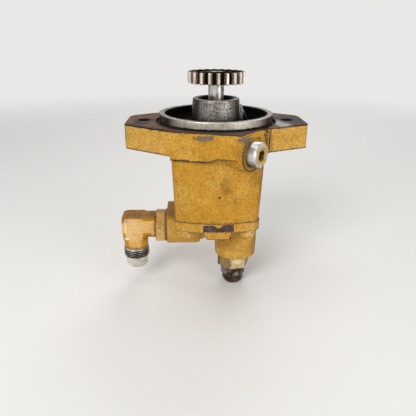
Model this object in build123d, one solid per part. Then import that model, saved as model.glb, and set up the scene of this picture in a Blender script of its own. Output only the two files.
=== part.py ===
from build123d import *
import math
import os

# Gear type fuel transfer pump for a diesel engine, in millimetres. The origin is the centre
# of the pilot on the mounting face. +Z runs along the drive shaft to its gear, the bolt ears
# lie along X, and the idler gear lies towards -Y. +X is the outlet side.

# Fits between pieces
running_gap = 0.04
thread_gap = 0.05
face_gap = 0.05
tip_gap = 0.10
press_gap = 0.01

# Mounting flange
flange_thickness = 19.2
ear_end = 73.4
ear_front = 19.5
ear_back = 21.5
shoulder_front_x = 35.0
shoulder_front_y = 46.4
shoulder_front_round = 14.0
flange_front = 56.0
shoulder_back_x = 45.0
shoulder_back_y = 40.0
flange_back = 52.0
ear_front_corner = 4.5
ear_back_corner = 13.0
wall_half_width = 36.6
wall_extra_depth = 3.0
wall_step_left = -9.6
wall_step_right = -0.6
under_flange_fillet = 2.8
bolt_spacing = 119.06
bolt_hole_diameter = 10.32

# Pilot ring, annular cavity and nose
pilot_diameter = 93.66
pilot_height = 6.5
pilot_wall = 4.3
pilot_groove_width = 2.9
pilot_groove_depth = 2.2
cavity_depth = 4.2
nose_height = 18.3
nose_diameter = 38.1
nose_root_diameter = 42.0
nose_root_flare = 3.0
nose_edge_fillet = 1.2
nose_bore = 30.0
nose_bore_chamfer = 1.5
nose_bore_depth = 23.0
rib_reach = 28.0
rib_width = 8.0
rib_height = 13.0
rib_top_width = 1.5
rib_toe_height = 2.0
rib_angle = -8.0

# Pump body between the flange and the rear cover
body_length = 54.7
body_half_width = 34.3
body_front = 48.0
body_back = 25.0
body_bow = 6.5
body_corner = 8.0
body_draft = 2.0

# Shafts and bushings
shaft_diameter = 12.7
shaft_top = 38.6
bushing_wall = 1.6
bushing_chamfer = 0.4
shaft_clearance = 0.8
bushing_length = 13.0
rear_bushing_length = 10.5
shaft_end_room = 1.0
shaft_end_chamfer = 0.6
shaft_centre_depth = 2.0
shaft_centre_radius = 2.0

# Pumping gears
pump_teeth = 10
pump_pitch_diameter = 25.4
pump_pressure_angle = 28.0
pump_addendum = 2.4
pump_dedendum = 3.1
pump_gear_width = 19.05
pump_backlash = 0.16
gallery_offset = 18.5
gallery_radius = 6.5

# Drive gear
drive_teeth = 20
drive_pitch_diameter = 42.33
drive_pressure_angle = 20.0
drive_addendum = 2.12
drive_dedendum = 2.65
drive_backlash = 0.2
drive_gear_width = 9.0
drive_gear_top = 39.0
drive_gear_phase = -88.3
drive_hub_radius = 10.0
drive_rim_radius = 16.4
drive_web_recess = 1.2
tooth_end_chamfer = 0.8
key_width = 3.18
key_length = 8.0
key_depth = 1.6

# Lip seals
seal_width = 7.0
seal_lip_wall = 1.6
outer_seal_recess = 7.0

# Rear cover
cover_thickness = 8.0
cover_lip = 0.6
bearing_block_half_width = 11.0
bearing_block_depth = 5.6
bearing_block_proud = 0.9
bearing_block_back = 12.5
bearing_block_slant = 3.0
cover_seal_width = 2.4
cover_seal_depth = 1.9
cover_seal_half_width = 28.5
cover_seal_nose_half_width = 12.0
cover_seal_margin = 3.0
cover_seal_corner = 5.0

# Cover bolts, washers and dowel sleeves
cover_bolt_x = 25.4
cover_bolt_front = 38.4
cover_bolt_back = 16.5
cover_bolt_diameter = 6.35
cover_bolt_head = 11.11
cover_bolt_head_height = 4.4
cover_bolt_grip = 14.0
cover_bolt_hole = 7.0
washer_diameter = 12.4
washer_thickness = 1.6
dowel_diameter = 9.6
dowel_length = 10.0

# Fuel ports: straight thread with an O-ring seat
port_thread = 22.22
port_thread_depth = 19.0
port_seat_diameter = 24.4
port_seat_depth = 2.5
port_passage = 12.3
inlet_face = 42.0
inlet_boss_radius = 16.0
inlet_boss_end = 13.5
inlet_boss_heel_radius = 13.0
inlet_boss_heel_end = 10.5
inlet_pad_reach = 12.0
inlet_riser_offset = 21.5
inlet_riser_radius = 5.0
outlet_x = 16.8
outlet_boss_shift = 1.3
outlet_boss_length = 34.3
outlet_boss_radius = 18.1
outlet_boss_draft = 0.9

# Fittings with a 37 degree flare end
fitting_hex = 25.4
fitting_neck = 19.2
fitting_stud_length = 14.0
flare_length = 19.3
flare_cone_base = 19.4
flare_cone_tip = 14.6
flare_nose_length = 6.0
flare_half_angle = 37.0
backup_washer_thickness = 1.3
backup_washer_diameter = 28.6
locknut_thickness = 8.6
locknut_turn = 12.0
elbow_shoulder_gap = 0.4
elbow_reach = 28.5
elbow_section = 20.6
elbow_chamfer = 2.6
elbow_under_chamfer = 7.0
elbow_leg = 10.6
elbow_neck_diameter = 21.4
elbow_drop = 38.6
adapter_hex_length = 12.3
adapter_flare_length = 17.5
adapter_hex_turn = -18.7
oring_section = 2.4
hex_chamfer = 0.9

# Relief valve, its axis level and turned from -Y towards +X
relief_angle = 50.0
relief_face = 53.0
relief_offset = 24.6
relief_depth = 15.5
relief_boss_radius = 13.3
relief_boss_inner = 22.0
relief_facet_left = 11.0
relief_facet_right = 24.7
relief_bevel_drop = 4.0
relief_bevel_run = 3.6
relief_spotface_radius = 12.8
relief_spotface_depth = 0.4
relief_thread = 15.88
relief_thread_depth = 16.0
relief_seat_diameter = 18.2
relief_bore = 12.0
relief_bore_depth = 34.0
relief_passage = 5.0
relief_gallery_end = 42.0
relief_cross_radius = 2.0
relief_riser_radius = 3.2
relief_seat_length = 4.0
piston_length = 9.0
piston_stem_diameter = 5.6
piston_stem_length = 4.0
piston_travel = 3.0
plug_head_diameter = 19.8
plug_head_height = 7.6
plug_head_chamfer = 1.2
plug_hex = 7.94
plug_hex_depth = 9.0
plug_stud_length = 12.0
plug_neck = 13.2
plug_oring_section = 2.2
spring_wire = 1.1
spring_diameter = 9.4
spring_coils = 4.5

# Derived places
pilot_radius = pilot_diameter / 2
joint_z = -flange_thickness - body_length
center_distance = pump_pitch_diameter
idler_y = -center_distance
port_y = -center_distance / 2
shaft_radius = shaft_diameter / 2
bushing_bore = shaft_radius + running_gap
bushing_radius = bushing_bore + bushing_wall
chamber_radius = pump_pitch_diameter / 2 + pump_addendum + tip_gap
chamber_top = joint_z + pump_gear_width + 2 * face_gap
bushing_top = chamber_top + bushing_length
cover_bottom = joint_z - cover_thickness
pocket_bottom = joint_z - rear_bushing_length - shaft_end_room
shaft_bottom = joint_z - rear_bushing_length
inlet_z = joint_z - inlet_boss_radius
outlet_face_z = cover_bottom - outlet_boss_length
thread_radius = port_thread / 2
stud_radius = thread_radius - thread_gap
oring_seat_radius = fitting_neck / 2

# Local frames with +Z out of each port and the origin on its face
inlet_port = Plane(origin=(-inlet_face, port_y, inlet_z), x_dir=(0, 1, 0), z_dir=(-1, 0, 0))
outlet_port = Plane(origin=(outlet_x, port_y, outlet_face_z), x_dir=(1, 0, 0), z_dir=(0, 0, -1))
relief_turn = math.radians(relief_angle)
relief_out = Vector(math.sin(relief_turn), -math.cos(relief_turn), 0)
relief_side = Vector(math.cos(relief_turn), math.sin(relief_turn), 0)
relief_origin = relief_out * relief_face - relief_side * relief_offset - Vector(0, 0, relief_depth)
relief_port = Plane(origin=relief_origin, x_dir=relief_side, z_dir=relief_out)


def rod(radius, low, high, x=0.0, y=0.0):
    """A cylinder along Z from low to high."""
    return Pos(x, y, low) * Cylinder(radius, high - low, align=(Align.CENTER, Align.CENTER, Align.MIN))


def taper(low_radius, high_radius, low, high, x=0.0, y=0.0):
    """A cone frustum along Z from low to high."""
    cone = Cone(low_radius, high_radius, high - low, align=(Align.CENTER, Align.CENTER, Align.MIN))
    return Pos(x, y, low) * cone


def tube(outer, inner, low, high, x=0.0, y=0.0):
    """A ring along Z from low to high."""
    return rod(outer, low, high, x, y) - rod(inner, low, high, x, y)


def block(x_low, x_high, y_low, y_high, z_low, z_high):
    """A box between the given limits."""
    size = Box(x_high - x_low, y_high - y_low, z_high - z_low, align=(Align.MIN, Align.MIN, Align.MIN))
    return Pos(x_low, y_low, z_low) * size


def hex_bar(across_flats, low, high, turn=0.0):
    """A hexagonal bar along Z with both ends turned to a chamfer."""
    corner_radius = across_flats / math.sqrt(3)
    bar = Pos(0, 0, low) * extrude(Rot(0, 0, turn) * RegularPolygon(corner_radius, 6), high - low)
    envelope = chamfer(rod(corner_radius + hex_chamfer, low, high).edges(), hex_chamfer * 1.6)
    return bar & envelope


def involute_edges(teeth, pitch_radius, pressure_angle, addendum, dedendum, backlash, phase):
    """Closed outline of a spur gear: involute flanks, radial roots, round lands."""
    angle = math.radians(pressure_angle)
    base = pitch_radius * math.cos(angle)
    tip = pitch_radius + addendum
    root = pitch_radius - dedendum
    start = max(base, root)
    half_tooth = math.pi / (2 * teeth) - backlash / (4 * pitch_radius) + math.tan(angle) - angle

    def half_angle(radius):
        roll = math.acos(min(1.0, base / radius))
        return half_tooth - math.tan(roll) + roll

    def point(radius, turn):
        return (radius * math.cos(turn), radius * math.sin(turn))

    radii = [start + (tip - start) * step / 4 for step in range(5)]
    pitch = 2 * math.pi / teeth
    edges = []
    for tooth in range(teeth):
        middle = math.radians(phase) + pitch * tooth
        rising = [point(r, middle - half_angle(r)) for r in radii]
        falling = [point(r, middle + half_angle(r)) for r in reversed(radii)]
        foot_left = point(root, middle - half_angle(start))
        foot_right = point(root, middle + half_angle(start))
        next_foot = point(root, middle + pitch - half_angle(start))
        if start > root:
            edges.append(Line(foot_left, rising[0]))
            edges.append(Line(falling[-1], foot_right))
        edges.append(Spline(*rising))
        edges.append(ThreePointArc(rising[-1], point(tip, middle), falling[0]))
        edges.append(Spline(*falling))
        edges.append(ThreePointArc(foot_right, point(root, middle + pitch / 2), next_foot))
    return edges


def spur_gear(teeth, pitch_radius, pressure_angle, addendum, dedendum, backlash, phase, low, high):
    """A spur gear along Z with the tooth ends chamfered."""
    outline = involute_edges(teeth, pitch_radius, pressure_angle, addendum, dedendum, backlash, phase)
    blank = Pos(0, 0, low) * extrude(make_face(outline), high - low)
    tip = pitch_radius + addendum
    envelope = chamfer(rod(tip + 1, low, high).edges(), tooth_end_chamfer + 1)
    return blank & envelope


# Housing

def flange_outline():
    """Mounting flange in plan: two ears joined by bowed edges, with the relief valve's facet."""
    front_left = (-shoulder_front_x, -shoulder_front_y)
    back_left = (-shoulder_back_x, shoulder_back_y)
    back_right = (shoulder_back_x, shoulder_back_y)
    ends = [(-ear_end, ear_back), (-ear_end, -ear_front), (ear_end, -ear_front), (ear_end, ear_back)]
    facet_left = relief_port.from_local_coords((-relief_facet_left, relief_depth, relief_spotface_depth))
    facet_right = relief_port.from_local_coords((relief_facet_right, relief_depth, relief_spotface_depth))
    outline = make_face(
        [
            Line(ends[0], ends[1]),
            Line(ends[1], front_left),
            ThreePointArc(front_left, (0, -flange_front), facet_left),
            Line(facet_left, facet_right),
            Line(facet_right, ends[2]),
            Line(ends[2], ends[3]),
            Line(ends[3], back_right),
            ThreePointArc(back_right, (0, flange_back), back_left),
            Line(back_left, ends[0]),
        ]
    )
    ear_tips = outline.vertices().filter_by(lambda v: abs(v.X) > ear_end - 0.01)
    outline = fillet(ear_tips.filter_by(lambda v: v.Y < 0), ear_front_corner)
    back_tips = outline.vertices().filter_by(lambda v: abs(v.X) > ear_end - 0.01 and v.Y > ear_back - 0.01)
    outline = fillet(back_tips, ear_back_corner)
    shoulder = outline.vertices().filter_by(lambda v: abs(v.X + shoulder_front_x) < 0.01)
    return fillet(shoulder, shoulder_front_round)


def body_outline(half_width, front, back):
    """Pump body in plan: a bowed front, straight sides and rounded corners."""
    left = (-half_width, body_bow - front)
    right = (half_width, body_bow - front)
    outline = make_face(
        [
            ThreePointArc(left, (0, -front), right),
            Line(right, (half_width, back)),
            Line((half_width, back), (-half_width, back)),
            Line((-half_width, back), left),
        ]
    )
    return fillet(outline.vertices(), body_corner)


def body_block():
    """The cast body, drafted towards the joint with the rear cover."""
    top = Pos(0, 0, -flange_thickness) * body_outline(
        body_half_width + body_draft, body_front + body_draft, body_back + body_draft
    )
    bottom = Pos(0, 0, joint_z) * body_outline(body_half_width, body_front, body_back)
    return loft([bottom, top], ruled=True)


def body_skirt():
    """Fillet between the body and the underside of the flange, kept inside the flange's outline."""
    radius = under_flange_fillet
    sections = []
    for step in range(4):
        angle = math.radians(30 * step)
        grown = radius - radius * math.sin(angle)
        depth = radius - radius * math.cos(angle)
        side = body_draft * (1 - depth / body_length) + grown
        outline = body_outline(body_half_width + side, body_front + side, body_back + side)
        sections.append(Pos(0, 0, -flange_thickness - depth) * outline)
    plan = Pos(0, 0, -flange_thickness - radius) * extrude(flange_outline(), radius)
    return loft(sections, ruled=True) & plan


def front_wall():
    """The deeper left part of the flange above the pump body; its foot rises to the right in an S curve."""
    depth = flange_thickness + wall_extra_depth
    high = -flange_thickness
    low = -depth
    middle_x = (wall_step_left + wall_step_right) / 2
    middle_z = (high + low) / 2
    foot = make_face(
        [
            Line((-wall_half_width, low), (wall_step_left, low)),
            Spline(
                (wall_step_left, low),
                (middle_x, middle_z),
                (wall_step_right, high),
                tangents=[(1, 0), (1, 0)],
            ),
            Line((wall_step_right, high), (wall_step_right, high + 1)),
            Line((wall_step_right, high + 1), (-wall_half_width, high + 1)),
            Line((-wall_half_width, high + 1), (-wall_half_width, low)),
        ]
    )
    reach = flange_front + body_back
    slab = extrude(Plane.XZ.offset(flange_front) * foot, -reach)
    plan = Pos(0, 0, low) * extrude(flange_outline(), depth)
    return plan & slab


def relief_boss():
    """Round boss of the relief valve, standing out of the flange and the body."""
    return relief_port.location * rod(relief_boss_radius, -relief_boss_inner, relief_spotface_depth)


def relief_bevel():
    """Bevel that drops the top of the relief valve's facet below the mounting face."""
    profile = make_face(
        Polyline(
            (relief_depth - relief_bevel_drop, relief_spotface_depth),
            (relief_depth - relief_bevel_drop, 1),
            (relief_depth + 1, 1),
            (relief_depth + 1, -relief_bevel_run),
            (relief_depth, -relief_bevel_run),
            close=True,
        )
    )
    left = -relief_boss_radius - 1
    bevel = Plane(origin=(left, 0, 0), x_dir=(0, 1, 0), z_dir=(1, 0, 0)) * profile
    return relief_port.location * extrude(bevel, relief_facet_right - left, dir=(1, 0, 0))


def nose():
    """Cast nose that carries the shaft seals, flared where it meets the floor of the cavity."""
    root = nose_root_diameter / 2
    cone = taper(root, nose_diameter / 2, -cavity_depth - 1, nose_height)
    cone = fillet(cone.edges().sort_by(Axis.Z)[-1], nose_edge_fillet)
    flare = taper(root + nose_root_flare, root - 1, -cavity_depth - 1, nose_root_flare - cavity_depth)
    return cone + flare


def nose_rib():
    """Buttress that carries the nose on its outlet side."""
    foot = nose_root_diameter / 2 - 4
    profile = make_face(
        Polyline(
            (foot, -cavity_depth - 1),
            (rib_reach, -cavity_depth - 1),
            (rib_reach - rib_toe_height, rib_toe_height),
            (nose_diameter / 2 + rib_top_width, rib_height),
            (foot, rib_height),
            close=True,
        )
    )
    web = extrude(Plane.XZ * profile, rib_width / 2, both=True)
    return Rot(0, 0, rib_angle) * web


def relief_bores():
    """Plug thread, piston bore and passage of the relief valve, with its feed galleries."""
    bores = rod(relief_thread / 2, -relief_thread_depth, 1)
    bores += rod(relief_seat_diameter / 2, -port_seat_depth, 1)
    bores += rod(relief_bore / 2, -relief_bore_depth - relief_seat_length, 1)
    bores += rod(relief_passage / 2, -relief_gallery_end, 1)
    bores += rod(relief_spotface_radius, 0, 1)
    bores = relief_port.location * bores
    passage_end = relief_port.location * Pos(0, 0, relief_riser_radius - relief_gallery_end)
    corner = Vector(gallery_offset, port_y, -relief_depth)
    run = passage_end.position - corner
    cross = Plane(origin=corner, z_dir=run).location * rod(relief_cross_radius, 0, run.length)
    riser_top = relief_riser_radius - relief_depth
    riser = rod(relief_riser_radius, chamber_top - 1, riser_top, gallery_offset, port_y)
    return bores + cross + riser


def pump_chamber():
    """Room for both pumping gears with the inlet and outlet galleries beside the mesh."""
    room = rod(chamber_radius, joint_z, chamber_top)
    room += rod(chamber_radius, joint_z, chamber_top, 0, idler_y)
    for side in (-1, 1):
        room += rod(gallery_radius, joint_z, chamber_top, side * gallery_offset, port_y)
        mouth = sorted((0, side * gallery_offset))
        room += block(
            mouth[0], mouth[1], port_y - gallery_radius, port_y + gallery_radius, joint_z, chamber_top
        )
    return room


def housing():
    plate = Pos(0, 0, -flange_thickness) * extrude(flange_outline(), flange_thickness)
    pilot = rod(pilot_radius, -1, pilot_height)
    casting = plate + body_block() + body_skirt() + front_wall() + relief_boss() + pilot
    casting -= rod(pilot_radius - pilot_wall, -cavity_depth, pilot_height + 1)
    casting -= tube(pilot_radius + pilot_groove_width, pilot_radius, -pilot_groove_depth, 1)
    casting += nose() + nose_rib()
    casting -= rod(nose_bore / 2, nose_height - nose_bore_depth, nose_height + 1)
    mouth = nose_bore / 2 + nose_bore_chamfer
    casting -= taper(nose_bore / 2, mouth, nose_height - nose_bore_chamfer, nose_height)
    casting -= rod(shaft_radius + shaft_clearance, bushing_top - 1, nose_height)
    casting -= rod(bushing_radius, chamber_top - 1, bushing_top)
    casting -= rod(bushing_radius, chamber_top - 1, bushing_top + shaft_end_room, 0, idler_y)
    casting -= pump_chamber()
    casting -= relief_bevel()
    casting -= relief_bores()
    for side in (-1, 1):
        hole = rod(bolt_hole_diameter / 2, -flange_thickness - 1, 1, side * bolt_spacing / 2)
        casting -= hole
    for x, y in cover_bolt_places():
        casting -= rod(cover_bolt_diameter / 2, joint_z - 1, joint_z + cover_bolt_grip + 2, x, y)
    for x, y in dowel_places():
        casting -= rod(dowel_diameter / 2, joint_z - 1, joint_z + dowel_length / 2, x, y)
    return casting


# Rear cover and what fastens it

def cover_bolt_places():
    return [(x, y) for x in (-cover_bolt_x, cover_bolt_x) for y in (-cover_bolt_front, cover_bolt_back)]


def dowel_places():
    return [(-cover_bolt_x, -cover_bolt_front), (cover_bolt_x, cover_bolt_back)]


def seal_path(margin):
    """Plan of the cover seal around the gear chamber and galleries, grown by the margin."""
    front = idler_y - chamber_radius - cover_seal_margin
    back = chamber_radius + cover_seal_margin
    side = cover_seal_half_width
    tip = cover_seal_nose_half_width
    waist = cover_seal_nose_half_width / 2
    plan = make_face(
        Polyline(
            (-tip, front),
            (tip, front),
            (side, port_y - waist),
            (side, port_y + waist),
            (tip, back),
            (-tip, back),
            (-side, port_y + waist),
            (-side, port_y - waist),
            close=True,
        )
    )
    rounded = fillet(plan.vertices(), cover_seal_corner)
    return offset(rounded, margin)


def cover_seal_ring(width, low, high):
    band = seal_path(width / 2) - seal_path(-width / 2)
    return Pos(0, 0, low) * extrude(band, high - low)


def inlet_boss():
    """Level boss of the inlet, flush with the joint face above its round underside."""
    round_part = rod(inlet_boss_radius, inlet_boss_end - inlet_face, 0)
    round_part = fillet(round_part.edges().sort_by(Axis.Z)[0], 3)
    pad = block(
        -inlet_boss_radius, inlet_boss_radius, -inlet_boss_radius, 0, inlet_pad_reach - inlet_face, 0
    )
    heel = rod(inlet_boss_heel_radius, inlet_boss_heel_end - inlet_face, inlet_boss_end - inlet_face + 1)
    return inlet_port.location * (round_part + pad + heel)


def rear_cover():
    outline = body_outline(body_half_width + cover_lip, body_front + cover_lip, body_back + cover_lip)
    casting = Pos(0, 0, cover_bottom) * extrude(outline, cover_thickness)
    block_front = -body_front - bearing_block_proud
    bearing_block = block(
        -bearing_block_half_width,
        bearing_block_half_width,
        block_front,
        bearing_block_back,
        cover_bottom - bearing_block_depth,
        cover_bottom + bearing_block_proud,
    )
    top_front = bearing_block.edges().filter_by(Axis.X).group_by(Axis.Y)[0].sort_by(Axis.Z)[-1]
    bearing_block = chamfer(top_front, bearing_block_proud)
    low_left = bearing_block.edges().filter_by(Axis.Y).group_by(Axis.Z)[0].sort_by(Axis.X)[0]
    casting += chamfer(low_left, bearing_block_slant)
    casting += inlet_boss()
    top_radius = outlet_boss_radius + outlet_boss_draft
    boss_x = outlet_x + outlet_boss_shift
    boss = taper(outlet_boss_radius, top_radius, outlet_face_z, cover_bottom + 1, boss_x, port_y)
    casting += fillet(boss.edges().sort_by(Axis.Z)[0], 0.8)
    casting -= inlet_port.location * port_bore()
    casting -= outlet_port.location * port_bore()
    casting -= rod(inlet_riser_radius, inlet_z, joint_z + 1, -inlet_riser_offset, port_y)
    casting -= rod(gallery_radius, outlet_face_z + port_thread_depth, joint_z + 1, gallery_offset, port_y)
    for y in (0, idler_y):
        casting -= rod(bushing_radius, pocket_bottom, joint_z + 1, 0, y)
    casting -= cover_seal_ring(cover_seal_width, joint_z - cover_seal_depth, joint_z + 1)
    for x, y in cover_bolt_places():
        casting -= rod(cover_bolt_hole / 2, cover_bottom - 1, joint_z + 1, x, y)
    for x, y in dowel_places():
        casting -= rod(dowel_diameter / 2, joint_z - dowel_length / 2, joint_z + 1, x, y)
    return casting


def port_bore():
    """Thread, O-ring seat and passage of a fuel port, cut from its face inwards."""
    bore = rod(thread_radius, -port_thread_depth, 1)
    bore += rod(port_seat_diameter / 2, -port_seat_depth, 1)
    bore += rod(port_passage / 2, -inlet_face + inlet_boss_end + 4, 1)
    return bore


def cover_bolts():
    head_top = cover_bottom - washer_thickness
    bolt = hex_bar(cover_bolt_head, head_top - cover_bolt_head_height, head_top)
    bolt += rod(cover_bolt_diameter / 2 - thread_gap, head_top, joint_z + cover_bolt_grip)
    return Part() + [Pos(x, y, 0) * bolt for x, y in cover_bolt_places()]


def cover_washers():
    low = cover_bottom - washer_thickness
    return Part() + [
        tube(washer_diameter / 2, cover_bolt_diameter / 2 + 0.2, low, cover_bottom, x, y)
        for x, y in cover_bolt_places()
    ]


def cover_dowels():
    inner = cover_bolt_hole / 2
    outer = dowel_diameter / 2 - press_gap
    half = dowel_length / 2
    return Part() + [tube(outer, inner, joint_z - half, joint_z + half, x, y) for x, y in dowel_places()]


# Shafts, bushings and seals

def keyway(low, width, outward):
    """Slot for a square key at the shaft surface, on the outward side along Y."""
    reach = outward * (shaft_radius + key_depth)
    inner = outward * (shaft_radius - key_depth)
    lows = sorted((inner, reach))
    return block(-width / 2, width / 2, lows[0], lows[1], low, low + key_length)


def drive_shaft():
    shaft = rod(shaft_radius, shaft_bottom, shaft_top)
    shaft = chamfer(shaft.edges(), shaft_end_chamfer)
    shaft -= taper(shaft_centre_radius * 0.4, shaft_centre_radius, shaft_top - shaft_centre_depth, shaft_top)
    shaft -= keyway(drive_key_low(), key_width, 1)
    shaft -= keyway(pump_key_low(), key_width, 1)
    return shaft


def drive_key_low():
    return drive_gear_top - drive_gear_width + (drive_gear_width - key_length) / 2


def pump_key_low():
    return joint_z + face_gap + (pump_gear_width - key_length) / 2


def gear_key(low):
    return keyway(low, key_width - 2 * press_gap, 1)


def idler_shaft():
    shaft = rod(shaft_radius, shaft_bottom, bushing_top, 0, idler_y)
    return chamfer(shaft.edges(), shaft_end_chamfer)


def bushing(low, high, y):
    sleeve = tube(bushing_radius, bushing_bore, low, high, 0, y)
    mouth = sleeve.edges().filter_by(GeomType.CIRCLE).sort_by(SortBy.RADIUS)[:2]
    return chamfer(mouth, bushing_chamfer)


def lip_seal(low):
    """Cased lip seal with its lip turned to the gears."""
    outer = nose_bore / 2
    lip = shaft_radius + running_gap
    profile = make_face(
        Polyline(
            (outer, low),
            (outer, low + seal_width),
            (lip + 2.6, low + seal_width),
            (lip + 2.0, low + seal_width - seal_lip_wall),
            (lip, low + 2.4),
            (lip, low + 1.6),
            (lip + 1.2, low + 1.2),
            (lip + 3.4, low + seal_width - 2 * seal_lip_wall),
            (outer - seal_lip_wall, low + seal_width - seal_lip_wall),
            (outer - seal_lip_wall, low),
            close=True,
        )
    )
    return revolve(Plane.XZ * profile, Axis.Z)


# Gears

def drive_gear():
    low = drive_gear_top - drive_gear_width
    gear = spur_gear(
        drive_teeth,
        drive_pitch_diameter / 2,
        drive_pressure_angle,
        drive_addendum,
        drive_dedendum,
        drive_backlash,
        drive_gear_phase,
        low,
        drive_gear_top,
    )
    recess = tube(drive_rim_radius, drive_hub_radius, 0, drive_web_recess)
    gear -= Pos(0, 0, low) * recess
    gear -= Pos(0, 0, drive_gear_top - drive_web_recess) * recess
    gear -= rod(shaft_radius, low, drive_gear_top)
    gear -= keyway(drive_key_low(), key_width, 1)
    return gear


def pump_gear(phase):
    low = joint_z + face_gap
    gear = spur_gear(
        pump_teeth,
        pump_pitch_diameter / 2,
        pump_pressure_angle,
        pump_addendum,
        pump_dedendum,
        pump_backlash,
        phase,
        low,
        low + pump_gear_width,
    )
    return gear - rod(shaft_radius, low, low + pump_gear_width)


def driving_pump_gear():
    return pump_gear(-90) - keyway(pump_key_low(), key_width, 1)


def driven_pump_gear():
    return Pos(0, idler_y, 0) * pump_gear(90 + 180 / pump_teeth)


# Fittings

def stud_end(length, radius, neck_radius):
    """Male end for an O-ring port: a neck under the shoulder, then thread to its tip."""
    stud = rod(neck_radius, -port_seat_depth, 0)
    thread = rod(radius, -length, -port_seat_depth)
    return stud + chamfer(thread.edges().sort_by(Axis.Z)[0], 0.8)


def flare_end(low, high):
    """Male flare end: thread, a plain nose, then the 37 degree cone up to its tip."""
    base = flare_cone_base / 2
    tip = flare_cone_tip / 2
    cone_low = high - (base - tip) / math.tan(math.radians(flare_half_angle))
    thread_high = cone_low - flare_nose_length
    thread = rod(stud_radius, low, thread_high)
    thread = chamfer(thread.edges().sort_by(Axis.Z)[-1], (stud_radius - base) * 0.98)
    return thread + rod(base, thread_high, cone_low) + taper(base, tip, cone_low, high)


def elbow_shoulder():
    return backup_washer_thickness + locknut_thickness + elbow_shoulder_gap


def chamfered_bar(width, low, high):
    bar = Pos(0, 0, (low + high) / 2) * Box(width, width, high - low)
    return chamfer(bar.edges().filter_by(Axis.Z), elbow_chamfer)


def elbow_leg_bar():
    """Level leg of the elbow, with its two lower edges cut back further than the upper ones."""
    half = elbow_section / 2
    low = elbow_shoulder()
    high = elbow_reach + half
    bar = Pos(0, 0, (low + high) / 2) * Box(elbow_section, elbow_section, high - low)
    bar = chamfer(bar.edges().filter_by(Axis.Z).group_by(Axis.Y)[0], elbow_chamfer)
    return chamfer(bar.edges().filter_by(Axis.Z).group_by(Axis.Y)[-1], elbow_under_chamfer)


def inlet_elbow():
    """Forged square elbow: level stud leg, drop leg with the flare end."""
    half = elbow_section / 2
    leg_bar = elbow_leg_bar()
    drop = Plane(origin=(0, 0, elbow_reach), x_dir=(1, 0, 0), z_dir=(0, 1, 0)).location
    elbow = leg_bar + drop * chamfered_bar(elbow_section, -half, elbow_leg)
    elbow += drop * rod(elbow_neck_diameter / 2, 0, elbow_drop - flare_length)
    elbow += drop * flare_end(elbow_drop - flare_length, elbow_drop)
    elbow += rod(stud_radius, 0, elbow_shoulder())
    elbow += stud_end(fitting_stud_length, stud_radius, oring_seat_radius)
    elbow -= rod(port_passage / 2, -fitting_stud_length, elbow_reach)
    elbow -= drop * rod(port_passage / 2, 0, elbow_drop)
    return inlet_port.location * elbow


def inlet_locknut():
    low = backup_washer_thickness
    high = low + locknut_thickness
    nut = hex_bar(fitting_hex, low, high, locknut_turn) - rod(thread_radius, low, high)
    return inlet_port.location * nut


def inlet_backup_washer():
    washer = tube(backup_washer_diameter / 2, thread_radius, 0, backup_washer_thickness)
    return inlet_port.location * washer


def port_oring(section, inner_radius):
    major = inner_radius + section / 2
    return Pos(0, 0, -port_seat_depth / 2) * Torus(major, section / 2)


def inlet_oring():
    return inlet_port.location * port_oring(oring_section, oring_seat_radius)


def outlet_adapter():
    """Hexagonal adapter that screws into the outlet port."""
    shoulder = adapter_hex_length
    adapter = hex_bar(fitting_hex, 0, shoulder, 90 - adapter_hex_turn)
    adapter += stud_end(fitting_stud_length, stud_radius, oring_seat_radius)
    adapter += flare_end(shoulder, shoulder + adapter_flare_length)
    adapter -= rod(port_passage / 2, -fitting_stud_length, shoulder + adapter_flare_length)
    return outlet_port.location * adapter


def outlet_oring():
    return outlet_port.location * port_oring(oring_section, oring_seat_radius)


# Relief valve

def relief_plug():
    """Hollow hex plug of the relief valve; its stud carries the spring."""
    head = rod(plug_head_diameter / 2, 0, plug_head_height)
    head = chamfer(head.edges().sort_by(Axis.Z)[-1], plug_head_chamfer)
    plug = head + stud_end(plug_stud_length, relief_thread / 2 - thread_gap, plug_neck / 2)
    socket = extrude(RegularPolygon(plug_hex / math.sqrt(3), 6, rotation=15), plug_hex_depth)
    plug -= Pos(0, 0, plug_head_height - plug_hex_depth) * socket
    return relief_port.location * plug


def relief_plug_oring():
    return relief_port.location * port_oring(plug_oring_section, plug_neck / 2)


def relief_seat():
    low = -relief_bore_depth - relief_seat_length
    seat = tube(relief_bore / 2 - press_gap, relief_passage / 2, low, -relief_bore_depth)
    return relief_port.location * seat


def piston_face():
    return -relief_bore_depth + piston_length


def relief_piston():
    low = -relief_bore_depth
    skirt = rod(relief_bore / 2 - running_gap, low, piston_face())
    skirt = chamfer(skirt.edges().sort_by(Axis.Z)[0], 1.5)
    stem = rod(piston_stem_diameter / 2, piston_face(), piston_face() + piston_stem_length)
    return relief_port.location * (skirt + chamfer(stem.edges().sort_by(Axis.Z)[-1], 0.5))


def relief_spring():
    low = piston_face() + spring_wire / 2 + face_gap
    high = -plug_stud_length - spring_wire / 2 - face_gap
    height = high - low
    path = Pos(0, 0, low) * Helix(height / spring_coils, height, spring_diameter / 2 - spring_wire / 2)
    section = Plane(origin=path @ 0, z_dir=path % 0) * Circle(spring_wire / 2)
    return relief_port.location * sweep(section, path=path, is_frenet=True)


# Every node of the pump, one file each

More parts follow.
